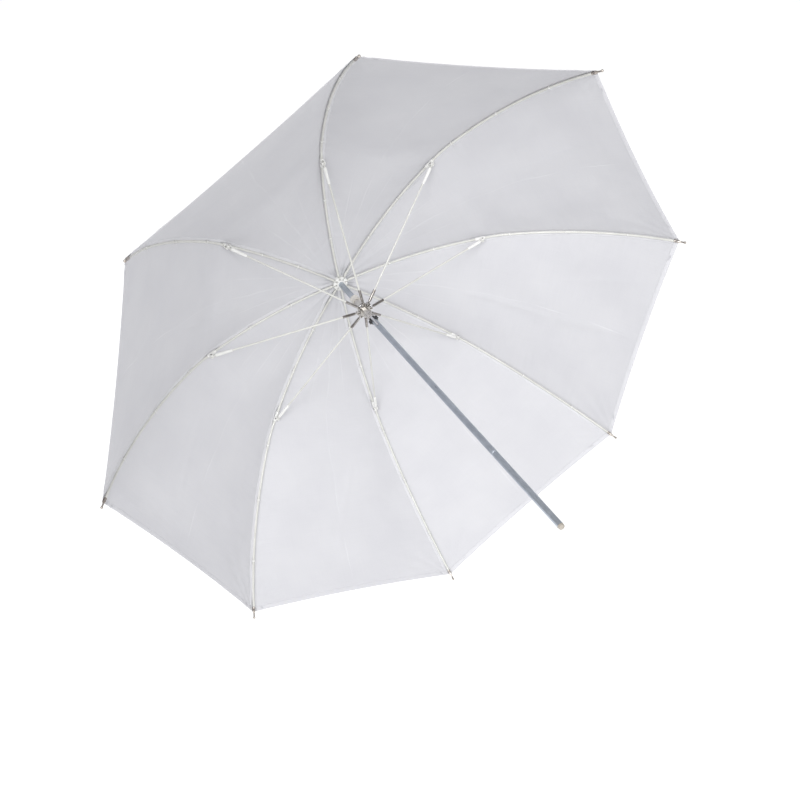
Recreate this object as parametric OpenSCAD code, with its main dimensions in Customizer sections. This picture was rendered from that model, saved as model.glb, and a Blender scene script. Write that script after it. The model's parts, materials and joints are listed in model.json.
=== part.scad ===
// Photographic umbrella reflector, open, with a stretched eight-sided canopy.
// Each part is drawn in the umbrella's own frame: z runs along the shaft from the crown
// towards the free end, and the rib hinges lie in the plane z = 0. in_row() then lays the
// shaft along -Y, with the origin at the middle of the stretch that a bracket clamps.

/* [Ribs] */
// Number of ribs and canopy panels
rib_count = 8; // [6:1:8]
// Turn of the first rib about the shaft, in degrees
rib_turn = 9.4; // [0:0.1:45]
// Diameter of the fibreglass rib rod
rib_d = 3.4; // [2.8:0.1:3.6]
// Slope of a rib where it leaves the crown, towards the free end, in degrees
rib_start = -1.3; // [-3:0.1:3]
// Length of the slow bend from the crown to the elbow
bend_0_len = 189.7; // [170:0.1:200]
// Turn of the slow bend, in degrees
bend_0_turn = 21.2; // [16:0.1:24]
// Length of the tighter bend beyond the elbow
bend_1_len = 29.5; // [20:0.1:50]
// Turn of the tighter bend, in degrees
bend_1_turn = 11.5; // [8:0.1:15]
// Length of the gentle bend out to the tip
bend_2_len = 244.5; // [200:0.1:260]
// Turn of the gentle bend, in degrees
bend_2_turn = 25.4; // [18:0.1:28]

/* [Shaft] */
// Outer diameter of the shaft tube
shaft_d = 8; // [8:0.5:8]
// Wall thickness of the shaft tube
shaft_wall = 0.8; // [0.6:0.1:1]
// Length of the tube below the rib hinges
shaft_len = 560.6; // [540:0.1:620]
// Length of the clamping stretch at the free end
grip_len = 136; // [100:1:136]

/* [Crown] */
// Radius of the ring wire that the ribs hinge on
hinge_r = 8; // [8:0.1:9]
// Height of the notch's neck below the hinges
neck_len = 4.5; // [3.5:0.5:8]

/* [Runner] */
// Distance of the stretcher pivots from the rib hinges when open
runner_z = 78.6; // [76:0.1:82]
// Radius of the stretcher pivots about the shaft
runner_r = 10.6; // [10.4:0.1:10.8]
// Outer diameter of the runner's sleeve
sleeve_d = 10.2; // [9.8:0.1:10.2]

/* [Stretchers] */
// Diameter of the fibreglass stretcher rod
stretcher_d = 2.6; // [2:0.1:2.8]
// Distance from a rib's centre line in to its stretcher pivot
pivot_drop = 4.7; // [4.7:0.1:5.2]
// Length of the metal end on the stretcher's inner end
end_len = 17.5; // [15:0.5:22]

/* [Canopy] */
// Thickness of the canopy solid
canopy_t = 0.6; // [0.4:0.1:1]
// Distance from a rib's centre line out to the canopy
canopy_off = 2.9; // [2.9:0.1:3.4]
// Gap between neighbouring canopy panels
panel_gap = 0.5; // [0.3:0.1:1]
// Radius of the hole at the canopy's centre
canopy_hole_r = 13; // [12:0.5:16]

/* [Hidden] */

pitch = 360 / rib_count;
half_pitch = pitch / 2;
shaft_r = shaft_d / 2;
bore_r = shaft_r - shaft_wall;
fit = 0.05;                 // radial clearance of a pin, or of a rod in its socket
slide_fit = 0.1;            // radial clearance of the runner on the shaft
tube_top = -18;
grip_start = shaft_len - grip_len;
origin_z = shaft_len - grip_len / 2;

// Flat ends of ribs and stretchers, and the slots that take them
tongue_t = 1.6;
slot_w = 2.3;
ring_wire_r = 0.6;
rod_start = 4.5;            // distance from a hinge to where the round rod starts
rib_foot = 8;               // straight length of a rib at its hinge
seat_in = 12;               // straight lengths on the elbow's two sides
seat_out = 6;

notch_r = 10.5;
notch_top = -5;
notch_lip = 2.5;
neck_r = 6.2;

elbow_r = 2.5;
eye_r = 1.9;
eye_t = 2;
pin_r = 0.8;
ear_gap = 2.4;
ear_t = 1.1;

tip_r = 2.3;
tip_len = 16;
tip_socket = 6;

sleeve_r = sleeve_d / 2;
runner_top = runner_z - 32;
runner_end = runner_z + 32;
hub_top = runner_z - 6;
hub_end = runner_z + 4;
hub_r = 7.6;
catch_az = rib_turn + 2.5 * pitch;
catch_z = runner_end - 6;
catch_len = 20;
catch_out = 6.9;

// Points in a rib's own plane, as [distance from the shaft's axis, z]
function along(a) = [cos(a), sin(a)];
function inward(a) = [-sin(a), cos(a)];
function bend_end(p, a, len, turn) =
    let (r = len / (turn * PI / 180)) p + r * (inward(a) - inward(a + turn));

rib_rise = rib_start + bend_0_turn;
slope_1 = rib_rise + bend_1_turn;
slope_2 = slope_1 + bend_2_turn;
hinge_p = [hinge_r, 0];
bend_0_p = hinge_p + rib_foot * along(rib_start);
seat_p = bend_end(bend_0_p, rib_start, bend_0_len, bend_0_turn);
elbow_p = seat_p + seat_in * along(rib_rise);
bend_1_p = elbow_p + seat_out * along(rib_rise);
bend_2_p = bend_end(bend_1_p, rib_rise, bend_1_len, bend_1_turn);
tip_p = bend_end(bend_2_p, slope_1, bend_2_len, bend_2_turn);
pivot_p = elbow_p + pivot_drop * inward(rib_rise);
runner_p = [runner_r, runner_z];
link = runner_p - pivot_p;
link_len = norm(link);
link_angle = atan2(link[1], link[0]);

// Canopy stations: rib point and slope at each, from the crown to the tip
function station(p, a, off) = p - off * inward(a);
function bend_stations(p, a, len, turn, steps, off) = [for (k = [1:steps])
    station(bend_end(p, a, len * k / steps, turn * k / steps), a + turn * k / steps, off)];
function stations(off) = concat(
    [station(hinge_p + (canopy_hole_r - hinge_r) * along(rib_start), rib_start, off)],
    bend_stations(bend_0_p, rib_start, bend_0_len, bend_0_turn, 5, off),
    [station(bend_1_p, rib_rise, off)],
    bend_stations(bend_1_p, rib_rise, bend_1_len, bend_1_turn, 2, off),
    bend_stations(bend_2_p, slope_1, bend_2_len, bend_2_turn, 6, off));

module in_row() {
    translate([0, origin_z, 0]) rotate([90, 0, 0]) children();
}

// Puts children, drawn with the rib's plane at y = 0, at rib i
module at_rib(i) {
    in_row() rotate([0, 0, rib_turn + (i - 1) * pitch]) children();
}

// Moves to a point of the rib's plane and points +X along the angle a
module at_point(p, a) {
    translate([p[0], 0, p[1]]) rotate([0, -a, 0]) children();
}

// A pin or hole square to the rib's plane
module cross_pin(r, len) {
    rotate([90, 0, 0]) cylinder(r = r, h = len, center = true, $fn = 32);
}

// A round bar along +X
module bar(r1, r2, len) {
    rotate([0, 90, 0]) cylinder(r1 = r1, r2 = r2, h = len, $fn = 32);
}

// A round rod bent in the rib's plane, from point p at slope a
module bent_rod(p, a, len, turn, r) {
    bend_r = len / (turn * PI / 180);
    centre = p + bend_r * inward(a);
    translate([centre[0], 0, centre[1]]) rotate([0, 90 - a, 0]) rotate([90, 0, 0])
        rotate_extrude(angle = turn, $fn = 180) translate([bend_r, 0]) circle(r = r, $fn = 24);
}

// A ring about the shaft, as a solid tube from z = low to z = high
module ring(inner, outer, low, high) {
    difference() {
        translate([0, 0, low]) cylinder(r = outer, h = high - low, $fn = 64);
        translate([0, 0, low - 1]) cylinder(r = inner, h = high - low + 2, $fn = 64);
    }
}

module shaft_tube() {
    color([0.66, 0.67, 0.69]) in_row() difference() {
        ring(bore_r, shaft_r, tube_top, shaft_len);
        // rolled groove that ends the clamping stretch
        translate([0, 0, grip_start - 0.8]) rotate_extrude($fn = 64)
            translate([shaft_r + 0.6, 0]) circle(r = 1, $fn = 24);
        // window that the catch works through
        rotate([0, 0, catch_az]) translate([0, -1.8, catch_z - 0.6])
            cube([shaft_d, 3.6, catch_len + 1.2]);
    }
}

module shaft_plug() {
    color([0.62, 0.62, 0.62]) in_row() {
        translate([0, 0, shaft_len - 14]) cylinder(r = bore_r - fit, h = 14.5, $fn = 48);
        translate([0, 0, shaft_len + 0.1]) rotate_extrude($fn = 64) difference() {
            union() {
                polygon([[-1, 0], [shaft_r - 0.05, 0], [shaft_r - 0.4, 2.4], [shaft_r - 1.6, 3.6], [-1, 3.8]]);
                translate([shaft_r - 1.6, 2.2]) circle(r = 1.25, $fn = 32);
            }
            translate([-9, 0]) square([9, 9]);
        }
    }
}

module crown_notch() {
    color([0.93, 0.93, 0.92]) in_row() difference() {
        union() {
            ring(shaft_r + fit, notch_r, notch_top, notch_lip);
            ring(shaft_r + fit, neck_r, notch_lip - 0.5, neck_len);
        }
        for (i = [1:rib_count]) rotate([0, 0, rib_turn + (i - 1) * pitch])
            translate([hinge_r - eye_r - 0.3, -slot_w / 2, -eye_r - 0.3])
                cube([10, slot_w, notch_lip + eye_r + 1]);
        rotate_extrude($fn = 64) translate([hinge_r, 0]) circle(r = ring_wire_r + fit, $fn = 24);
    }
}

module notch_ring() {
    color("silver") in_row() rotate_extrude($fn = 96)
        translate([hinge_r, 0]) circle(r = ring_wire_r, $fn = 24);
}

// Hat-shaped cover over the canopy's centre hole, outside the canopy
module cap_washer() {
    color([0.95, 0.95, 0.94]) in_row() rotate_extrude($fn = 96) polygon([
        [shaft_r + 0.2, notch_top - 0.2], [notch_r + 1, notch_top - 0.2],
        [24, notch_top + 0.6], [24.3, notch_top - 0.1],
        [notch_r + 1.4, notch_top - 1.1], [shaft_r + 0.2, notch_top - 1.1]]);
}

module crown_cap() {
    color([0.9, 0.9, 0.89]) in_row() translate([0, 0, tube_top - 4]) rotate_extrude($fn = 64)
        difference() {
            union() {
                translate([0, 3]) square([7.5, 12.7]);
                translate([0, 3]) intersection() {
                    scale(1.5) circle(r = 5, $fn = 64);
                    translate([0, -3]) square([7.5, 3]);
                }
                translate([0, 14.5]) square([9, 1.2]);
            }
            translate([0, 3.9]) square([shaft_r + fit, 20]);
            translate([-20, -20]) square([20, 60]);
        }
}

module rib_rod(i) {
    r = rib_d / 2;
    cut = 1 - 4 / bend_2_len;      // the rod stops inside the tip ferrule
    module band() translate([-1.5, 0, 0]) bar(r + 0.1, r + 0.1, 3);
    color([0.95, 0.94, 0.88]) at_rib(i) {
        at_point(hinge_p, rib_start) difference() {
            union() {
                cross_pin(eye_r - 0.2, tongue_t);
                translate([0, -tongue_t / 2, -1.3]) cube([rod_start + 1.5, tongue_t, 2.6]);
                translate([rod_start, 0, 0]) bar(r, r, rib_foot - rod_start);
            }
            cross_pin(ring_wire_r + 0.12, 4);
        }
        at_point(seat_p, rib_rise) bar(r, r, seat_in + seat_out);
        // thin bands where the lengths meet
        at_point(bend_0_p, rib_start) band();
        at_point(seat_p, rib_rise) band();
        at_point(bend_1_p, rib_rise) band();
        at_point(bend_2_p, slope_1) band();
        bent_rod(bend_0_p, rib_start, bend_0_len, bend_0_turn, r);
        bent_rod(bend_1_p, rib_rise, bend_1_len, bend_1_turn, r);
        bent_rod(bend_2_p, slope_1, bend_2_len * cut, bend_2_turn * cut, r);
    }
}

// Metal ferrule with a ball end, pushed on the end of the rib rod
module rib_tip(i) {
    color([0.5, 0.48, 0.46]) at_rib(i) at_point(tip_p, slope_2) difference() {
        union() {
            translate([-tip_socket - 3, 0, 0]) bar(tip_r, tip_r, 9);
            translate([-0.5, 0, 0]) bar(tip_r, 1.2, 5);
            bar(1.2, 1.2, tip_len - tip_socket - 2);
            translate([tip_len - tip_socket - 2, 0, 0]) sphere(r = 2, $fn = 32);
        }
        translate([-tip_socket - 4, 0, 0])
            bar(rib_d / 2 + 2 * fit, rib_d / 2 + 2 * fit, tip_socket + 0.5);
    }
}

// Plastic elbow on the rib, with two ears and a headed pin for the stretcher
module rib_elbow(i) {
    ear_y = ear_gap / 2 + ear_t / 2;
    color([0.96, 0.96, 0.95]) at_rib(i) {
        difference() {
            union() {
                at_point(elbow_p, rib_rise) translate([-10, 0, 0]) bar(elbow_r, elbow_r, 14);
                for (side = [-1, 1]) translate([0, side * ear_y, 0]) {
                    at_point(pivot_p, rib_rise) cross_pin(eye_r + 0.4, ear_t);
                    at_point(elbow_p, rib_rise) translate([-3.2, -ear_t / 2, 0.6])
                        cube([5.4, ear_t, pivot_drop - 0.6]);
                }
            }
            at_point(elbow_p, rib_rise) translate([-11, 0, 0])
                bar(rib_d / 2 + fit, rib_d / 2 + fit, 16);
            at_point(pivot_p, rib_rise) cross_pin(pin_r + fit, 10);
        }
        at_point(pivot_p, rib_rise) {
            cross_pin(pin_r, ear_gap + 2 * ear_t + 0.4);
            for (side = [-1, 1]) translate([0, side * (ear_gap / 2 + ear_t + 0.4), 0])
                cross_pin(pin_r + 0.7, 0.6);
        }
    }
}

module stretcher(i) {
    color([0.95, 0.94, 0.88]) at_rib(i) at_point(pivot_p, link_angle) difference() {
        union() {
            cross_pin(eye_r, eye_t);
            translate([0, -eye_t / 2, -1.2]) cube([6, eye_t, 2.4]);
            translate([4.2, 0, 0]) bar(2, 1.6, 24);
            translate([5, 0, 0]) bar(stretcher_d / 2, stretcher_d / 2, link_len - 5 - 13);
        }
        cross_pin(pin_r + fit, 4);
    }
}

// Metal end on the inner end of the stretcher, flattened where it meets the runner
module stretcher_end(i) {
    tube_from = link_len - 3.6 - end_len;
    color([0.5, 0.5, 0.52]) at_rib(i) at_point(pivot_p, link_angle) difference() {
        union() {
            translate([tube_from, 0, 0]) bar(1.9, 1.9, end_len);
            translate([link_len - 5, -tongue_t / 2, -1.1]) cube([5, tongue_t, 2.2]);
            translate([link_len, 0, 0]) cross_pin(1.3, tongue_t);
        }
        translate([tube_from - 1, 0, 0]) bar(stretcher_d / 2 + fit, stretcher_d / 2 + fit,
            link_len - 11.8 - tube_from);
        translate([link_len, 0, 0]) cross_pin(0.5, 4);
    }
}

module runner_sleeve() {
    color([0.75, 0.75, 0.75]) in_row()
        ring(shaft_r + slide_fit, sleeve_r, runner_top + 4.2, runner_end - 7);
}

module runner_collar() {
    color([0.92, 0.92, 0.91]) in_row() difference() {
        union() {
            ring(shaft_r + slide_fit, 6.6, runner_top, runner_top + 4.1);
            ring(sleeve_r + fit, 6.6, runner_top + 4, runner_top + 9);
        }
    }
}

// Hub with a pair of ears for each stretcher's inner end
module runner_hub() {
    ear = [4.7, 1, 4.8];
    color([0.22, 0.22, 0.23]) in_row() {
        ring(sleeve_r + fit, hub_r, hub_top, hub_end);
        for (i = [1:rib_count]) rotate([0, 0, rib_turn + (i - 1) * pitch])
            for (side = [-1, 1])
                translate([hub_r - 0.7, side * (slot_w / 2 + 0.5) - 0.5, runner_z - 2.4]) cube(ear);
    }
}

// Dark ring on the runner's lower end, with thumb lugs and a notch for the catch
module runner_stop() {
    color([0.1, 0.1, 0.11]) in_row() difference() {
        union() {
            ring(shaft_r + slide_fit, sleeve_r, runner_end - 6.9, runner_end);
            for (side = [-90, 90]) rotate([0, 0, catch_az + side])
                translate([sleeve_r - 0.7, -1.3, runner_end - 6.9]) cube([2.6, 2.6, 5]);
        }
        rotate([0, 0, catch_az]) translate([0, -2.1, catch_z - 0.5]) cube([10, 4.2, 10]);
        cylinder(r = shaft_r + slide_fit, h = 2 * runner_end, $fn = 64);
    }
}

// Spring leaf that stands out of the shaft and holds the runner up
module catch_leaf() {
    color([0.8, 0.8, 0.8]) in_row() rotate([0, 0, catch_az]) translate([0, 1.5, 0])
        rotate([90, 0, 0]) linear_extrude(3) polygon([
            [1, catch_z + 1], [catch_out - 0.8, catch_z], [catch_out, catch_z + 1],
            [catch_out, catch_z + 6], [3, catch_z + catch_len - 1],
            [2, catch_z + catch_len - 1], [1, catch_z + catch_len - 6]]);
}

// Panel of canopy that one rib carries: a thin shell from mid-gore to mid-gore
module canopy(i) {
    function across(p, side) = side == 0 ? [p[0], 0, p[1]] :
        let (chord = p[0] * cos(half_pitch), turn = side * half_pitch)
        [chord * cos(turn) + side * panel_gap / 2 * sin(turn),
         chord * sin(turn) - side * panel_gap / 2 * cos(turn), p[1]];
    lower = stations(canopy_off);
    upper = stations(canopy_off + canopy_t);
    rows = len(lower);
    points = [for (layer = [lower, upper]) for (p = layer) for (side = [-1, 0, 1]) across(p, side)];
    function id(layer, row, side) = layer * 3 * rows + 3 * row + side + 1;
    sheets = [for (row = [0:rows - 2]) for (side = [-1, 0]) for (layer = [0, 1])
        let (q = [id(layer, row, side), id(layer, row, side + 1),
                  id(layer, row + 1, side + 1), id(layer, row + 1, side)])
        layer == 0 ? q : [q[3], q[2], q[1], q[0]]];
    sides = [for (row = [0:rows - 2]) for (side = [-1, 1])
        let (q = [id(0, row, side), id(0, row + 1, side), id(1, row + 1, side), id(1, row, side)])
        side == -1 ? q : [q[3], q[2], q[1], q[0]]];
    ends = [for (side = [-1, 0]) for (row = [0, rows - 1])
        let (q = [id(0, row, side), id(1, row, side), id(1, row, side + 1), id(0, row, side + 1)])
        row == 0 ? q : [q[3], q[2], q[1], q[0]]];
    color([0.94, 0.94, 0.95]) at_rib(i) polyhedron(points = points, faces = concat(sheets, sides, ends));
}

shaft_tube();
shaft_plug();
crown_notch();
notch_ring();
crown_cap();
cap_washer();
runner_sleeve();
runner_hub();
runner_collar();
runner_stop();
catch_leaf();
for (i = [1:rib_count]) {
    rib_rod(i);
    rib_tip(i);
    rib_elbow(i);
    canopy(i);
    stretcher(i);
    stretcher_end(i);
}
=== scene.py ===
"""A white photographic umbrella, open: its looks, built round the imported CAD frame."""

import json
import math

import bpy
import numpy as np
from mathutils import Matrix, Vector


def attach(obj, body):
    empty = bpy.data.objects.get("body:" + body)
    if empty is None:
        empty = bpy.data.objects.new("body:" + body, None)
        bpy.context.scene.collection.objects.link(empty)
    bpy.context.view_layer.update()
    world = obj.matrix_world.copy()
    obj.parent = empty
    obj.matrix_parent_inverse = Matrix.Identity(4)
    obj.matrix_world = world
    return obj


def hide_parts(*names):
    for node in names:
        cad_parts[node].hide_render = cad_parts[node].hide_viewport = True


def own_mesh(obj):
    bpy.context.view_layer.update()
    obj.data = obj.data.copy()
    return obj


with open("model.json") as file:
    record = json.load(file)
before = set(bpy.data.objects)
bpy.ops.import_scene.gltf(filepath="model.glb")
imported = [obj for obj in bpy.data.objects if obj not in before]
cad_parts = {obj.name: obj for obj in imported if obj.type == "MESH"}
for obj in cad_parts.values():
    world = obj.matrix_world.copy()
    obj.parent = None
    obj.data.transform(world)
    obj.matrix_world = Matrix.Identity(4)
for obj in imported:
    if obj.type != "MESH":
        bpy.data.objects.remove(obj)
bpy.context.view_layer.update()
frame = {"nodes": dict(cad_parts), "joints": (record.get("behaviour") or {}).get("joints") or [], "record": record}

# ---------------------------------------------------------------------------------------------
# The umbrella's own frame, as in the CAD: millimetres, z along the shaft from the rib hinges
# towards the free end. A rib's plane is (out, side, z).
RIBS = 8
PITCH = 2 * math.pi / RIBS
HINGE_R = 8.0
START = math.radians(-1.3)
# lengths of a rib from its hinge to its tip, each with its turn in degrees
LENGTHS = [(8.0, 0), (189.7, 21.2), (18.0, 0), (29.5, 11.5), (244.5, 25.4)]
RIB_LEN = sum(length for length, turn in LENGTHS)
ELBOW_S = 209.7
PIVOT_DROP = 4.7
RUNNER_PIVOT = (10.6, 78.6)
ROD_R = 1.7
CLOTH_OFF = 2.4         # from a rib's centre line to the cloth
HOLE_S = 2.9            # from the hinge to the edge of the cloth's hole at the crown

joints = {j["name"]: j for j in frame["joints"]}
first_hinge = joints["rib_hinge_1"]["pos_m"]
ORIGIN_Z = first_hinge[1] * 1000
TURN = math.atan2(first_hinge[2], first_hinge[0])


def rib_angle(i):
    return TURN + (i - 1) * PITCH


def to_row(points):
    """Points in the umbrella's frame, in mm, to the row frame, in metres."""
    p = np.asarray(points, float)
    return np.stack([p[..., 0], ORIGIN_Z - p[..., 2], p[..., 1]], -1) / 1000


def rib_to_row(points, i):
    """Points in rib i's own frame (out, side, z), in mm, to the row frame."""
    p = np.asarray(points, float)
    c, s = math.cos(rib_angle(i)), math.sin(rib_angle(i))
    return to_row(np.stack([p[..., 0] * c - p[..., 1] * s, p[..., 0] * s + p[..., 1] * c, p[..., 2]], -1))


def profile(s):
    """Distance from the shaft's axis, z and slope of the rib's centre line at length s."""
    left = np.asarray(s, float)
    x, z, a = left * 0 + HINGE_R, left * 0, left * 0 + START
    for length, turn in LENGTHS:
        part = np.clip(left, 0, length)
        left = left - length
        if turn:
            r = length / math.radians(turn)
            b = a + part / r
            x, z, a = x + r * (np.sin(b) - np.sin(a)), z + r * (np.cos(a) - np.cos(b)), b
        else:
            x, z = x + part * np.cos(a), z + part * np.sin(a)
    past = np.maximum(left, 0)
    return x + past * np.cos(a), z + past * np.sin(a), a


def beside(s, off):
    """The profile moved off to the canopy's side by off."""
    x, z, a = profile(s)
    return x + off * np.sin(a), z - off * np.cos(a), a


# ---------------------------------------------------------------------------------------------
# Meshes


def mesh_object(name, verts, faces, smooth=True, uv=None, normals=None):
    mesh = bpy.data.meshes.new(name)
    mesh.from_pydata([tuple(v) for v in verts], [], [tuple(f) for f in faces])
    mesh.update()
    if uv is not None:
        layer = mesh.uv_layers.new(name="UVMap")
        loops = np.zeros(len(mesh.loops), int)
        mesh.loops.foreach_get("vertex_index", loops)
        layer.data.foreach_set("uv", np.asarray(uv, float)[loops].ravel())
    if smooth:
        mesh.shade_smooth()
    if normals is not None:
        mesh.normals_split_custom_set_from_vertices([tuple(n) for n in normals])
    obj = bpy.data.objects.new(name, mesh)
    bpy.context.scene.collection.objects.link(obj)
    return obj


def grid_faces(rows, cols, start=0, wrap=False):
    """Quads over a grid of vertices, closed round its columns when wrap is true."""
    faces = []
    for r in range(rows - 1):
        for c in range(cols if wrap else cols - 1):
            d = (c + 1) % cols
            low, high = start + r * cols, start + (r + 1) * cols
            faces.append([low + c, low + d, high + d, high + c])
    return faces


def tube(path, radius, sides=20, caps=True):
    """Vertices and faces of a round tube along a path of points; radius may vary along it."""
    path = np.asarray(path, float)
    radius = np.broadcast_to(np.asarray(radius, float), len(path))
    tangent = np.gradient(path, axis=0)
    tangent /= np.linalg.norm(tangent, axis=1)[:, None]
    side = np.cross(tangent[0], [0.31, 0.83, 0.46])
    side /= np.linalg.norm(side)
    verts = []
    for p, t, r in zip(path, tangent, radius):
        side = side - t * side.dot(t)
        side /= np.linalg.norm(side)
        other = np.cross(t, side)
        for k in range(sides):
            a = 2 * math.pi * k / sides
            verts.append(p + r * (math.cos(a) * side + math.sin(a) * other))
    faces = grid_faces(len(path), sides, wrap=True)
    if caps:
        last = (len(path) - 1) * sides
        faces.append(list(range(sides))[::-1])
        faces.append([last + k for k in range(sides)])
    return np.array(verts), faces


def join(parts):
    """One set of vertices and faces from several."""
    verts, faces, n = [], [], 0
    for v, f in parts:
        verts.append(np.asarray(v, float))
        faces += [[n + k for k in q] for q in f]
        n += len(v)
    return np.concatenate(verts), faces


# ---------------------------------------------------------------------------------------------
# Materials


class Nodes:
    """Short names for building one material's nodes."""

    def __init__(self, name):
        self.mat = bpy.data.materials.new(name)
        self.mat.use_nodes = True
        self.tree = self.mat.node_tree
        self.bsdf = self.tree.nodes["Principled BSDF"]
        self.out = self.tree.nodes["Material Output"]

    def node(self, kind, **inputs):
        n = self.tree.nodes.new(kind)
        for key, value in inputs.items():
            socket = n.inputs[key.replace("_", " ")]
            if isinstance(value, bpy.types.NodeSocket):
                self.tree.links.new(value, socket)
            else:
                socket.default_value = value
        return n

    def link(self, a, b):
        self.tree.links.new(a, b)

    def coords(self, which="Object"):
        return self.tree.nodes.new("ShaderNodeTexCoord").outputs[which]

    def stretch(self, vector, scale, turn=(0, 0, 0)):
        n = self.node("ShaderNodeMapping", Vector=vector)
        n.inputs["Scale"].default_value = scale
        n.inputs["Rotation"].default_value = turn
        return n.outputs[0]

    def noise(self, vector, scale, detail=3.0, rough=0.5):
        n = self.node("ShaderNodeTexNoise", Vector=vector, Scale=scale, Detail=detail, Roughness=rough)
        return n.outputs[0]

    def range(self, value, low, high, start=0.0, end=1.0):
        n = self.node("ShaderNodeMapRange", Value=value)
        n.inputs["From Min"].default_value = start
        n.inputs["From Max"].default_value = end
        n.inputs["To Min"].default_value = low
        n.inputs["To Max"].default_value = high
        return n.outputs[0]

    def math(self, op, a, b=0.0):
        n = self.tree.nodes.new("ShaderNodeMath")
        n.operation = op
        for k, value in enumerate((a, b)):
            if isinstance(value, bpy.types.NodeSocket):
                self.tree.links.new(value, n.inputs[k])
            else:
                n.inputs[k].default_value = value
        return n.outputs[0]

    def ramp(self, value, stops):
        n = self.node("ShaderNodeValToRGB", Fac=value)
        while len(n.color_ramp.elements) < len(stops):
            n.color_ramp.elements.new(0.5)
        for e, (place, colour) in zip(n.color_ramp.elements, stops):
            e.position = place
            e.color = (*colour, 1)
        return n.outputs[0]

    def bump(self, height, distance, strength=1.0):
        n = self.node("ShaderNodeBump", Height=height, Distance=distance, Strength=strength)
        return n.outputs[0]

    def surface(self, colour=None, roughness=None, normal=None, **fixed):
        for key, value in (("Base Color", colour), ("Roughness", roughness), ("Normal", normal)):
            if isinstance(value, bpy.types.NodeSocket):
                self.tree.links.new(value, self.bsdf.inputs[key])
            elif value is not None:
                self.bsdf.inputs[key].default_value = (*value, 1) if key == "Base Color" else value
        for key, value in fixed.items():
            self.bsdf.inputs[key.replace("_", " ")].default_value = value
        return self.mat


def cloth(name, tint, shade, see_through, folds=0.0, sheen=0.15):
    """Fine white nylon: two sets of threads, faint slubs, fold lines, and light that comes through it."""
    m = Nodes(name)
    uv = m.coords("UV")
    broad = m.noise(uv, 9.0, 3.0, 0.55)
    slub_a = m.noise(m.stretch(uv, (900, 14, 1)), 1.0, 2.0)
    slub_b = m.noise(m.stretch(uv, (14, 900, 1)), 1.0, 2.0)
    slubs = m.math("ADD", slub_a, slub_b)
    mixed = m.math("ADD", m.math("MULTIPLY", broad, 0.7), m.math("MULTIPLY", slubs, 0.15))
    colour = m.ramp(mixed, [(0.36, shade), (0.62, tint)])
    threads = []
    for turn in (0, math.pi / 2):
        turned_uv = m.stretch(uv, (1, 1, 1), (0, 0, turn))
        w = m.node("ShaderNodeTexWave", Vector=turned_uv, Scale=260.0, Distortion=0.4)
        w.wave_type = "BANDS"
        threads.append(w.outputs[1])
    weave = m.math("ADD", m.math("MULTIPLY", threads[0], 0.5), m.math("MULTIPLY", threads[1], 0.5))
    height = m.math("ADD", weave, m.math("MULTIPLY", slubs, 0.6))
    ripple = m.noise(m.stretch(uv, (26, 70, 1)), 1.0, 2.0, 0.5)
    normal = m.bump(height, 0.00006, 0.6)
    crumple = m.node("ShaderNodeBump", Height=ripple, Distance=0.0012, Strength=0.35)
    m.link(normal, crumple.inputs["Normal"])
    shape = crumple.outputs[0]
    if folds:
        # lines left by folding: one down the middle of each gore, and two that fan out from the crown
        axes = m.node("ShaderNodeSeparateXYZ", Vector=uv)
        across, down = axes.outputs[0], axes.outputs[1]
        drift = m.noise(m.stretch(uv, (0, 7, 1)), 1.0, 1.0)
        wander = m.math("MULTIPLY", m.math("SUBTRACT", drift, 0.5), 0.022)
        near = m.math("ABSOLUTE", m.math("ADD", across, wander))
        middle = m.range(near, 1.0, 0.0, 0.0005, 0.0016)
        ray = m.math("SUBTRACT", m.math("ABSOLUTE", across), m.math("MULTIPLY", down, 0.155))
        slope = m.math("ABSOLUTE", ray)
        side = m.math("MULTIPLY", m.range(slope, 1.0, 0.0, 0.0004, 0.0014),
                      m.range(down, 0.8, 0.0, 0.06, 0.26))
        faded = m.math("MULTIPLY", m.math("MAXIMUM", m.math("MULTIPLY", middle, 0.55), side),
                       m.range(m.noise(m.stretch(uv, (5, 11, 1)), 1.0, 1.0), 0.0, 1.0, 0.42, 0.62))
        line = m.math("MULTIPLY", faded, folds)
        ridge = m.node("ShaderNodeBump", Height=line, Distance=0.0004, Strength=0.8)
        m.link(shape, ridge.inputs["Normal"])
        shape = ridge.outputs[0]
        # the fold lines are also painted lighter in colour: partly the whitening a hard fold leaves in the cloth,
        # partly painted highlight where the fold's ridge catches light
        fold_whitening_and_highlight = m.tree.nodes.new("ShaderNodeMix")
        fold_whitening_and_highlight.data_type = "RGBA"
        m.link(m.math("MULTIPLY", line, 0.25), fold_whitening_and_highlight.inputs[0])
        m.link(colour, fold_whitening_and_highlight.inputs[6])
        fold_whitening_and_highlight.inputs[7].default_value = (0.9, 0.9, 0.93, 1)
        colour = fold_whitening_and_highlight.outputs[2]
    m.surface(colour, m.range(slubs, 0.46, 0.62, 0.6, 1.4), shape, Specular_IOR_Level=0.3,
              Sheen_Weight=sheen, Sheen_Roughness=0.4)
    back = m.node("ShaderNodeBsdfTranslucent", Color=colour, Normal=shape)
    mix = m.node("ShaderNodeMixShader", Fac=see_through)
    m.link(m.bsdf.outputs[0], mix.inputs[1])
    m.link(back.outputs[0], mix.inputs[2])
    m.link(mix.outputs[0], m.out.inputs["Surface"])
    return m.mat


def fibreglass():
    m = Nodes("fibreglass")
    pos = m.coords()
    fibres = m.noise(m.stretch(pos, (700, 700, 700)), 1.0, 4.0, 0.6)
    broad = m.noise(pos, 60.0, 2.0)
    value = m.math("ADD", m.math("MULTIPLY", fibres, 0.5), m.math("MULTIPLY", broad, 0.5))
    colour = m.ramp(value, [(0.38, (0.55, 0.55, 0.522)), (0.62, (0.63, 0.63, 0.598))])
    return m.surface(colour, m.range(fibres, 0.24, 0.42), m.bump(fibres, 0.00004, 0.5),
                     Coat_Weight=0.5, Coat_Roughness=0.12)


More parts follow.
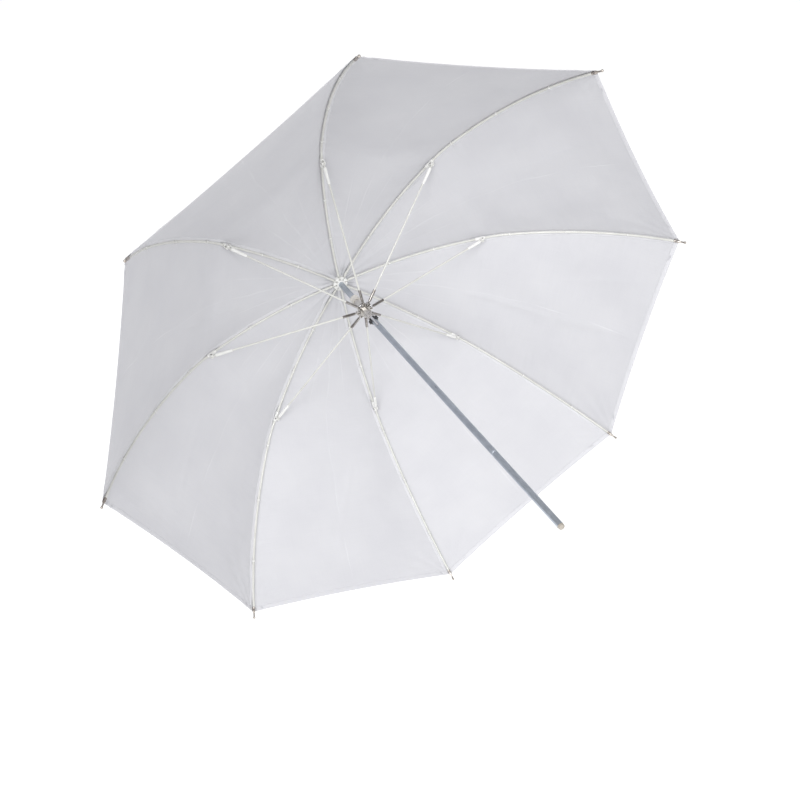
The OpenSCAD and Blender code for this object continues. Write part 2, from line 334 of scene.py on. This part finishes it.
def plastic(name, dark, light, rough=(0.34, 0.5), grain=1400.0, depth=0.00003):
    m = Nodes(name)
    pos = m.coords()
    fine = m.noise(pos, grain, 3.0, 0.6)
    broad = m.noise(pos, 90.0, 3.0)
    colour = m.ramp(m.math("ADD", m.math("MULTIPLY", fine, 0.25), m.math("MULTIPLY", broad, 0.75)),
                    [(0.36, dark), (0.64, light)])
    return m.surface(colour, m.range(broad, rough[0], rough[1], 0.3, 0.7), m.bump(fine, depth, 0.6),
                     Specular_IOR_Level=0.5)


def metal(name, dark, light, rough=(0.2, 0.36), stretch=(900, 30, 900), depth=0.00002, scratch=0.5):
    """Plated or drawn metal, with drawing marks along the shaft's direction and faint stains."""
    m = Nodes(name)
    pos = m.coords()
    lines = m.noise(m.stretch(pos, stretch), 1.0, 4.0, 0.65)
    stains = m.noise(pos, 70.0, 4.0, 0.6)
    value = m.math("ADD", m.math("MULTIPLY", lines, 0.4), m.math("MULTIPLY", stains, 0.6))
    colour = m.ramp(value, [(0.34, dark), (0.66, light)])
    roughness = m.range(m.math("ADD", m.math("MULTIPLY", lines, 0.5), m.math("MULTIPLY", stains, 0.5)),
                        rough[0], rough[1], 0.35, 0.65)
    return m.surface(colour, roughness, m.bump(lines, depth, scratch), Metallic=1.0)


CLOTH = cloth("canopy_cloth", (0.63, 0.63, 0.655), (0.59, 0.59, 0.62), 0.3, folds=1.0)
CLOTH_DOUBLE = cloth("canopy_seam", (0.71, 0.71, 0.737), (0.665, 0.665, 0.692), 0.16)
FIBRE = fibreglass()
WHITE = plastic("white_plastic", (0.72, 0.72, 0.70), (0.80, 0.80, 0.785))
BLACK = plastic("black_plastic", (0.012, 0.012, 0.013), (0.03, 0.03, 0.032), (0.16, 0.34))
PLUG = plastic("plug_plastic", (0.34, 0.31, 0.27), (0.47, 0.43, 0.38), (0.3, 0.5))
SHAFT = metal("shaft_steel", (0.41, 0.45, 0.50), (0.56, 0.60, 0.66), (0.26, 0.42))
RUNNER = metal("runner_metal", (0.58, 0.555, 0.53), (0.78, 0.765, 0.74), (0.2, 0.36))
DARK = metal("hub_metal", (0.20, 0.185, 0.17), (0.66, 0.64, 0.61), (0.1, 0.26), (400, 400, 400))
ENDS = metal("end_metal", (0.14, 0.12, 0.11), (0.50, 0.48, 0.46), (0.1, 0.26), (500, 500, 500))
TIPS = metal("tip_metal", (0.27, 0.23, 0.20), (0.64, 0.60, 0.56), (0.16, 0.34), (500, 500, 500))
CHROME = metal("chrome", (0.62, 0.63, 0.65), (0.85, 0.85, 0.87), (0.06, 0.16), (400, 400, 400))
WIRE = metal("steel_wire", (0.4, 0.4, 0.4), (0.6, 0.6, 0.6), (0.25, 0.4), (500, 500, 500))
COLLAR = plastic("collar_plastic", (0.50, 0.48, 0.45), (0.64, 0.62, 0.58))
THREAD = plastic("thread", (0.72, 0.72, 0.71), (0.82, 0.82, 0.81), (0.7, 0.85), 2600.0, 0.00008)

finishes = {
    "shaft": SHAFT, "plug": PLUG, "white_plastic": WHITE, "steel_wire": WIRE, "runner_metal": RUNNER,
    "dark_metal": DARK, "black_plastic": BLACK, "chrome": CHROME, "fibreglass": FIBRE,
    "tip_metal": TIPS, "end_metal": ENDS, "canopy": CLOTH,
}
slot_of = {s["node"]: s["material_slot"] for s in frame["record"]["subparts"]}
for name, obj in frame["nodes"].items():
    obj.data.materials.clear()
    obj.data.materials.append(COLLAR if name == "runner_collar" else finishes[slot_of[name]])


def finish_piece(obj, body, material):
    obj.data.materials.clear()
    obj.data.materials.append(material)
    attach(obj, body)
    return obj


# ---------------------------------------------------------------------------------------------
# The canopy: one sheet over all eight gores, cut along the mid-gore lines into the eight pieces
# that the ribs carry. Both sides of a cut come from the same grid, so no line shows there.
ROWS = 130              # of the grid, from the crown to the hem
HALF = 40               # columns from a rib to the middle of the gore
HEM_DIP = 3.5           # how far the hem's middle lies inside its corners
PULL = 8.5              # how far the cloth is pulled in between the ribs at most
SEAM_WIDTH = 5.9
HEM_WIDTH = 6.0
TIES = [70, 138, 250, 330, 418]     # where thread holds the seam to a rib


def smooth(x):
    x = np.clip(x, 0, 1)
    return x * x * (3 - 2 * x)


def waves(count, low, high, seed):
    """A smooth field of random waves, as a function of two coordinates in mm."""
    r = np.random.default_rng(seed)
    k = 2 * math.pi / r.uniform(low, high, count)
    a = r.uniform(0, 2 * math.pi, count)
    p = r.uniform(0, 2 * math.pi, count)

    def field(x, y):
        total = np.zeros_like(x)
        for kk, aa, pp in zip(k, a, p):
            total += np.sin(kk * (x * math.cos(aa) + y * math.sin(aa)) + pp)
        return total / math.sqrt(count)

    return field


undulation = [waves(7, 70, 190, 100 + g) for g in range(RIBS)]

# Creases left by folding, as (gore, from, to, depth): each end is [length along the rib, side]
# with side from -1 at the gore's first rib to 1 at its next.
CREASES = [
    (7, (484, 0.02), (352, -0.10), 1.2),
    (7, (352, -0.10), (190, -0.07), 1.0),
    (7, (470, 0.5), (330, 0.34), 0.5),
    (3, (330, -0.45), (445, 0.05), 0.8),
    (3, (150, 0.3), (330, 0.1), 0.5),
    (2, (250, 0.5), (420, 0.2), 0.5),
    (4, (240, -0.6), (420, -0.2), 0.6),
    (0, (300, 0.1), (455, 0.3), 0.5),
    (1, (180, -0.3), (330, 0.15), 0.5),
    (5, (280, 0.35), (440, -0.1), 0.6),
    (6, (200, -0.2), (360, 0.25), 0.5),
]


def gore_grid(g):
    """Points and unit normals, in the umbrella's frame in mm, of the gore from rib g + 1 to the next."""
    near, far = np.linspace(0, 1, HALF + 1) ** 1.2, np.linspace(1, 0, HALF + 1) ** 1.2
    side = np.concatenate([-1 + near, (1 - far)[1:]])
    w = side[None, :] * np.ones((ROWS, 1))
    end = RIB_LEN - HEM_DIP * (1 - w**2)
    s = HOLE_S + (end - HOLE_S) * (np.arange(ROWS) / (ROWS - 1))[:, None]
    x, z, a = beside(s, CLOTH_OFF)
    mid = rib_angle(g + 1) + PITCH / 2
    chord = x * math.cos(PITCH / 2)
    reach = x * math.sin(PITCH / 2) * w
    # the cloth is pulled in between the ribs where they bend, and a little along the hem
    pull = PULL * smooth(s / 230) * (1 - 0.72 * smooth((s - 270) / 220)) * (1 - w**2)
    # distance from the nearer rib, in mm
    away = x * math.sin(PITCH / 2) * (1 - np.abs(w))
    lumps = undulation[g](reach, s) * 0.9 * smooth(away / 40) * smooth((RIB_LEN - s) / 50)
    # the pull of the corner: folds that fan out from the tip
    fan = np.arctan2(away, np.maximum(RIB_LEN + 6 - s, 1))
    corner = 0.4 * np.sin(fan * 17 + g) * np.exp(-np.hypot(away, RIB_LEN - s) / 55) * smooth(away / 8)
    # puckers beside the ribs, strongest at the ties
    tie = sum(np.exp(-((s - t) / 16) ** 2) for t in TIES)
    pucker = (0.25 + 0.5 * tie) * np.sin(s * 0.62 + np.sin(s * 0.11 + g) * 2)
    pucker = pucker * np.exp(-away / 13) * smooth((away - 1) / 5)
    # gathers where the gores narrow to the crown
    gather = 0.5 * np.cos(w * 3 * math.pi) * np.exp(-s / 45)
    crease = np.zeros_like(s)
    for gore, (s1, w1), (s2, w2), depth in CREASES:
        if gore == g:
            u1, u2 = w1 * 0.38 * s1, w2 * 0.38 * s2
            length = math.hypot(s2 - s1, u2 - u1)
            along = ((s - s1) * (s2 - s1) + (reach - u1) * (u2 - u1)) / length
            off = ((reach - u1) * (s2 - s1) - (s - s1) * (u2 - u1)) / length
            crease += depth * np.exp(-np.abs(off) / 3.6) * smooth(along / 25) * smooth((length - along) / 25)
    # room for the elbow
    room = -0.65 * np.exp(-((s - ELBOW_S + 3) / 13) ** 4) * np.exp(-((away / 7) ** 2))
    push = pull + lumps + corner + pucker + gather + crease + room
    out = chord - np.sin(a) * push
    up = z + np.cos(a) * push
    c, sn = math.cos(mid), math.sin(mid)
    points = np.stack([out * c - reach * sn, out * sn + reach * c, up], -1)
    du = np.gradient(points, axis=1)
    dv = np.gradient(points, axis=0)
    normal = np.cross(du, dv)
    normal /= np.linalg.norm(normal, axis=-1)[..., None]
    uv = np.stack([reach / 1000, s / 1000], -1)
    return points, normal, uv


gores = [gore_grid(g) for g in range(RIBS)]


def kite(i):
    """The cloth that rib i carries: the near halves of the gores on its two sides."""
    before, after = gores[(i - 2) % RIBS], gores[i - 1]
    halves = [(before, slice(HALF, 2 * HALF + 1)), (after, slice(0, HALF + 1))]
    verts, normals, uvs, faces, n = [], [], [], [], 0
    for (points, normal, uv), cols in halves:
        p, q, t = points[:, cols], normal[:, cols], uv[:, cols]
        verts.append(to_row(p).reshape(-1, 3))
        normals.append(np.stack([q[..., 0], -q[..., 2], q[..., 1]], -1).reshape(-1, 3))
        uvs.append(t.reshape(-1, 2))
        faces += grid_faces(ROWS, HALF + 1, n)
        n += ROWS * (HALF + 1)
    return np.concatenate(verts), np.concatenate(normals), np.concatenate(uvs), faces


def hem(i):
    """The doubled edge of the cloth, turned in and stitched."""
    parts, uvs = [], []
    for (points, normal, uv), cols in [(gores[(i - 2) % RIBS], slice(HALF, 2 * HALF + 1)),
                                       (gores[i - 1], slice(0, HALF + 1))]:
        p, q = points[:, cols], normal[:, cols]
        t = uv[:, cols]
        edge, inward = p[-1], p[-4] - p[-1]
        inner = edge + inward * (HEM_WIDTH / np.linalg.norm(inward, axis=-1))[:, None]
        # across the hem: fold, rolled edge, stitched edge; lifted to the inner side
        shape = [(0.0, -0.12), (-0.02, 0.04), (0.0, 0.2), (0.1, 0.28),
                 (0.5, 0.26), (0.78, 0.26), (0.92, 0.2), (1.0, 0.03)]
        up = -q[-1] if np.mean(q[-1][:, 2]) < 0 else q[-1]
        rows = [edge + (inner - edge) * k + up * h for k, h in shape]
        ring = np.stack(rows, 0)
        parts.append((to_row(ring).reshape(-1, 3), grid_faces(len(shape), HALF + 1)))
        across = np.array([k for k, h in shape])[:, None] * HEM_WIDTH / 1000 * np.ones((1, HALF + 1))
        uvs.append(np.stack([t[-1, :, 0][None, :] * np.ones((len(shape), 1)), across], -1).reshape(-1, 2))
    verts, faces = join(parts)
    return verts, faces, np.concatenate(uvs)


# Across a seam: the place as a share of its width, the lift off the cloth, and the lift that is added
# where the edges stand up.
SEAM_SHAPE = [
    (-1.02, 0.02, 0), (-0.99, 0.42, 0), (-0.8, 0.5, 0.1), (-0.62, 0.5, 0.35), (-0.5, 0.5, 0.8),
    (-0.43, 0.5, 1.2), (-0.38, 0.48, 1.38), (-0.34, 0.45, 1.2), (-0.3, 0.4, 0.55), (-0.24, 0.36, 0.05),
    (-0.12, 0.3, 0), (0, 0.24, 0), (0.12, 0.3, 0), (0.22, 0.34, 0), (0.25, 0.02, 0),
]


def seam_band(i):
    """The sewn edges of two gores, turned to one side of the rib and laid on the cloth."""
    sides = []
    for g, cols in (((i - 2) % RIBS, slice(2 * HALF, HALF - 1, -1)), (i - 1, slice(0, HALF + 1))):
        points, normal, uv = gores[g]
        away = 1000 * np.abs(np.abs(uv[:, cols, 0]) - np.abs(uv[:, cols, 0][:, :1]))
        sides.append((points[:, cols], normal[:, cols], away))
    s = np.linspace(HOLE_S, RIB_LEN, ROWS)
    keep = np.nonzero(s < RIB_LEN - 5)[0]
    rows, uvs = [], []
    for r in keep:
        width = SEAM_WIDTH + 0.35 * math.sin(s[r] * 0.083 + 2 * i) + 0.2 * math.sin(s[r] * 0.31 + i)
        # how far the sewn edges stand up against the rod: less at the ties, the elbow and both ends
        stand = smooth((s[r] - 14) / 30) * smooth((RIB_LEN - 9 - s[r]) / 14)
        stand *= 1 - math.exp(-(((s[r] - ELBOW_S + 3) / 15) ** 4))
        stand *= 1 - 0.75 * sum(math.exp(-(((s[r] - t) / 5) ** 2)) for t in TIES)
        stand *= 0.93 + 0.07 * math.sin(s[r] * 0.19 + 3 * i)
        row = []
        for k, lift, extra in SEAM_SHAPE:
            lift += extra * stand
            points, normal, away = sides[0 if k < 0 else 1]
            d = min(abs(k) * width, away[r, -1] * 0.97)
            p = np.array([np.interp(d, away[r], points[r, :, c]) for c in range(3)])
            n = np.array([np.interp(d, away[r], normal[r, :, c]) for c in range(3)])
            n /= np.linalg.norm(n)
            row.append(p + n * lift * (1 if n[2] > 0 else -1))
            uvs.append((k * width / 1000, s[r] / 1000))
        rows.append(row)
    grid = np.array(rows)
    return to_row(grid).reshape(-1, 3), grid_faces(len(rows), grid.shape[1]), np.array(uvs)


def tie(i, s, turns=3.0, wire=0.22):
    """A few turns of thread round the rib and the seam."""
    t = np.linspace(0, turns, int(turns * 26))
    x, z, a = profile(np.array([s]))
    x, z, a = x[0], z[0], a[0]
    ang = 2 * math.pi * t
    rad = ROD_R + 0.24 + 0.55 * np.clip(np.cos(ang + math.pi), 0, 1) ** 2
    depth = rad * np.cos(ang)
    y = rad * np.sin(ang)
    step = (t - turns / 2) * 0.5
    out = x + step * math.cos(a) - depth * math.sin(a)
    up = z + step * math.sin(a) + depth * math.cos(a)
    # one loose end of the thread
    away = np.linspace(0.1, 1, 9)
    out = np.append(out, out[-1] + 1.6 * away * math.cos(a) - 2.4 * away**2 * math.sin(a))
    up = np.append(up, up[-1] + 1.6 * away * math.sin(a) + 2.4 * away**2 * math.cos(a))
    y = np.append(y, y[-1] + 3.2 * away * math.sin(s) + 1.2 * away**2)
    return tube(rib_to_row(np.stack([out, y, up], -1), i), wire / 1000, 8)


def turned(i, base, toward, shape, sides=28):
    """A turned piece in rib i's plane: shape is [distance from base towards toward, radius], in mm."""
    base, toward = np.array(base, float), np.array(toward, float)
    axis = (toward - base) / np.linalg.norm(toward - base)
    path = [base + axis * d for d, r in shape]
    return tube(rib_to_row(path, i), [r / 1000 for d, r in shape], sides)


ex, ez, ea = (float(v) for v in profile(ELBOW_S))
PIVOT = (ex - PIVOT_DROP * math.sin(ea), 0, ez + PIVOT_DROP * math.cos(ea))
INNER = (RUNNER_PIVOT[0], 0, RUNNER_PIVOT[1])

# Turned pieces, as (distance along the piece, radius)
FERRULE = [
    (-6.6, 1.76), (-6.5, 1.95), (-6.2, 2.03), (-4.6, 2.03), (-4.5, 1.93), (-4.1, 1.93), (-4.0, 2.03),
    (-1.2, 2.0), (0.4, 1.75), (2.2, 1.25), (3.0, 1.12), (7.2, 1.08), (7.5, 1.3), (8.0, 1.62),
    (8.8, 1.78), (9.5, 1.68), (10.1, 1.25), (10.4, 0.7), (10.5, 0.15),
]
SOCKET = [(5.3, 1.9), (5.4, 2.2), (5.8, 2.35), (12, 2.3), (21, 2.05), (27.6, 1.85), (28.3, 1.7), (28.4, 1.35)]
RIVET_HEAD = [(0, 1.2), (0.1, 1.3), (0.3, 1.22), (0.44, 0.9), (0.52, 0.5), (0.54, 0.1)]

for i in range(1, RIBS + 1):
    verts, normals, uvs, faces = kite(i)
    sheet = mesh_object(f"canopy_cloth_{i}", verts, faces, uv=uvs, normals=normals)
    finish_piece(sheet, f"rib_{i}", CLOTH)
    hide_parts(f"canopy_{i}")
    v, f, u = hem(i)
    edge = mesh_object(f"canopy_hem_{i}", v, f, uv=u)
    finish_piece(edge, f"rib_{i}", CLOTH_DOUBLE)
    v, f, u = seam_band(i)
    band = mesh_object(f"canopy_seam_{i}", v, f, uv=u)
    finish_piece(band, f"rib_{i}", CLOTH_DOUBLE)
    v, f = join([tie(i, s) for s in TIES])
    threads = mesh_object(f"thread_ties_{i}", v, f)
    finish_piece(threads, f"rib_{i}", THREAD)
    # the tip's ferrule, pressed on the rod, drawn down to a pin with a ball end
    tx, tz, ta = (float(v) for v in profile(RIB_LEN))
    v, f = turned(i, (tx, 0, tz), (tx + 50 * math.cos(ta), 0, tz + 50 * math.sin(ta)), FERRULE)
    tip = mesh_object(f"rib_ferrule_{i}", v, f)
    finish_piece(tip, f"rib_{i}", TIPS)
    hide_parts(f"rib_tip_{i}")
    # white socket on the stretcher's outer end, and the heads of the elbow's rivet
    v, f = turned(i, PIVOT, INNER, SOCKET)
    finish_piece(mesh_object(f"stretcher_socket_{i}", v, f), f"stretcher_{i}", WHITE)
    heads = []
    for side in (-1, 1):
        at = (PIVOT[0], side * 2.96, PIVOT[2])
        heads.append(turned(i, at, (PIVOT[0], side * 9, PIVOT[2]), RIVET_HEAD, 24))
    v, f = join(heads)
    finish_piece(mesh_object(f"elbow_rivet_{i}", v, f), f"rib_{i}", ENDS)
    for piece in (sheet, edge):
        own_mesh(piece)


def hoop(radius, z, wire, twist=False):
    """A ring of wire about the shaft, with its ends twisted together when twist is true."""
    t = np.linspace(0, 2 * math.pi, 181)
    ring = np.stack([radius * np.cos(t), radius * np.sin(t), z + 0 * t], -1)
    pieces = [tube(to_row(ring), wire / 1000, 14, caps=False)]
    if twist:
        u = np.linspace(0, 1, 60)
        for half in (0, math.pi):
            a = TURN + PITCH / 2
            r = radius + 0.55 * np.cos(u * 16 + half)
            side = 0.55 * np.sin(u * 16 + half)
            x = r * math.cos(a) - side * math.sin(a)
            y = r * math.sin(a) + side * math.cos(a)
            pieces.append(tube(to_row(np.stack([x, y, z + 1 + 4.5 * u], -1)), wire / 1000 * 0.9, 10))
    return join(pieces)


v, f = hoop(RUNNER_PIVOT[0], RUNNER_PIVOT[1], 0.44, twist=True)
finish_piece(mesh_object("runner_wire", v, f), "runner", CHROME)

# ---------------------------------------------------------------------------------------------
# Camera, floor and light
camera = bpy.data.objects.new("camera", bpy.data.cameras.new("camera"))
bpy.context.scene.collection.objects.link(camera)
camera.location = (-0.5869, -0.8251, 0.8833)
looking = Vector((0.3666, 0.7080, -0.6036))
camera.rotation_mode = "QUATERNION"
camera.rotation_quaternion = looking.to_track_quat("-Z", "Y")
camera.data.lens = 53.6
camera.data.clip_end = 200
bpy.context.scene.camera = camera


def floor_material():
    """White paper that also glows as painted light: its emission rises from none in front of the umbrella to a
    little behind it.
    """
    m = Nodes("floor_paper")
    pos = m.coords()
    grain = m.noise(pos, 40.0, 3.0)
    depth = m.node("ShaderNodeSeparateXYZ", Vector=pos).outputs[1]
    # painted glow: the floor's emission strength rises from 0 at y = -1.6 m to 0.4 at y = 0.1 m and beyond
    m.link(m.range(depth, 0.0, 0.4, -1.6, 0.1), m.bsdf.inputs["Emission Strength"])
    return m.surface(m.ramp(grain, [(0.3, (0.93, 0.93, 0.93)), (0.7, (0.95, 0.95, 0.95))]), 0.9, None,
                     Specular_IOR_Level=0.1, Emission_Color=(1, 1, 1, 1))


bpy.ops.mesh.primitive_plane_add(size=60, location=(0, 0, -1.5))
floor = bpy.context.object
floor.name = "floor"
floor.data.materials.append(floor_material())

world = bpy.data.worlds.new("studio")
world.use_nodes = True
world.node_tree.nodes["Background"].inputs["Color"].default_value = (1, 1, 1, 1)
world.node_tree.nodes["Background"].inputs["Strength"].default_value = 0.55
bpy.context.scene.world = world


def area_light(name, at, target, size, power):
    light = bpy.data.lights.new(name, "AREA")
    light.shape = "DISK"
    light.size = size
    light.energy = power
    obj = bpy.data.objects.new(name, light)
    bpy.context.scene.collection.objects.link(obj)
    obj.location = at
    obj.rotation_mode = "QUATERNION"
    obj.rotation_quaternion = (Vector(target) - Vector(at)).to_track_quat("-Z", "Y")
    return obj


area_light("key", (-3.6, -3.0, 3.8), (0, 0.35, 0), 3.2, 248)
area_light("fill", (0.9, -4.2, 2.6), (0, 0.35, 0), 3.0, 101)
bpy.context.scene.view_settings.view_transform = "Standard"
